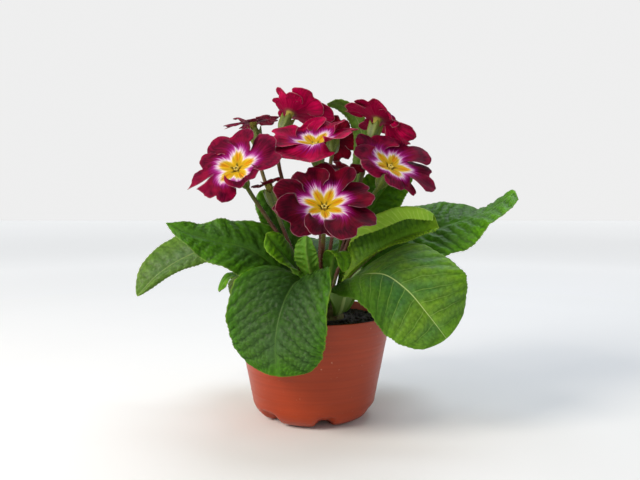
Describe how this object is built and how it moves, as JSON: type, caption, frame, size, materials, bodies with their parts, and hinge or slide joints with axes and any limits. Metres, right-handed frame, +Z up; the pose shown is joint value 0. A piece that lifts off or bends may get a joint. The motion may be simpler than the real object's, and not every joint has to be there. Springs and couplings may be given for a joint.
{
  "type": "potted primrose",
  "caption": "Primrose plant in bloom, with wrinkled leaves and dark red yellow-eyed flowers, in a round tapered plastic nursery pot of soil.",
  "frame": {"origin": "middle of the pot's flat base, on the surface it stands on", "axes": "+Z up, -Y towards the front of the plant as seen in the picture, +X to the viewer's right"},
  "size_m": [0.2486, 0.1702, 0.2109],
  "materials": {
    "pot_plastic": "semi-gloss moulded polypropylene, terracotta colour",
    "peat": null,
    "crown_tissue": null,
    "leaf_blade": "wrinkled living leaf with a soft gloss; fabric stands in",
    "flower_stalk": "downy green to reddish stalk and calyx; fabric stands in",
    "petal_burgundy": "velvety burgundy petal with a yellow eye; fabric stands in",
    "petal_crimson": "velvety crimson petal with a yellow eye; fabric stands in",
    "anther": "mealy yellow pollen; fabric stands in"
  },
  "bodies": {
    "root": {"pot": "pot_plastic", "soil": "peat", "crown": "crown_tissue", "leaf_front_left": "leaf_blade", "leaf_front_right": "leaf_blade", "leaf_left_upper": "leaf_blade", "leaf_far_left": "leaf_blade", "leaf_left_low": "leaf_blade", "leaf_far_right": "leaf_blade", "leaf_right_rolled": "leaf_blade", "leaf_right_upright": "leaf_blade", "leaf_left_upright": "leaf_blade", "leaf_back_tall": "leaf_blade", "leaf_heart_left": "leaf_blade", "leaf_heart_middle": "leaf_blade", "leaf_heart_right": "leaf_blade", "leaf_back_left": "leaf_blade", "leaf_back": "leaf_blade", "leaf_back_right": "leaf_blade", "flower_front_stalk": "flower_stalk", "flower_front_petals": "petal_burgundy", "flower_front_anthers": "anther", "flower_left_stalk": "flower_stalk", "flower_left_petals": "petal_burgundy", "flower_left_anthers": "anther", "flower_right_stalk": "flower_stalk", "flower_right_petals": "petal_burgundy", "flower_right_anthers": "anther", "flower_middle_stalk": "flower_stalk", "flower_middle_petals": "petal_crimson", "flower_middle_anthers": "anther", "flower_top_left_stalk": "flower_stalk", "flower_top_left_petals": "petal_crimson", "flower_top_left_anthers": "anther", "flower_far_left_stalk": "flower_stalk", "flower_far_left_petals": "petal_burgundy", "flower_far_left_anthers": "anther", "flower_top_right_stalk": "flower_stalk", "flower_top_right_petals": "petal_crimson", "flower_top_right_anthers": "anther", "flower_back_stalk": "flower_stalk", "flower_back_petals": "petal_burgundy", "flower_back_anthers": "anther", "flower_inner_right_stalk": "flower_stalk", "flower_inner_right_petals": "petal_burgundy", "flower_inner_right_anthers": "anther", "flower_inner_left_stalk": "flower_stalk", "flower_inner_left_petals": "petal_burgundy", "flower_inner_left_anthers": "anther"}
  },
  "joints": []
}
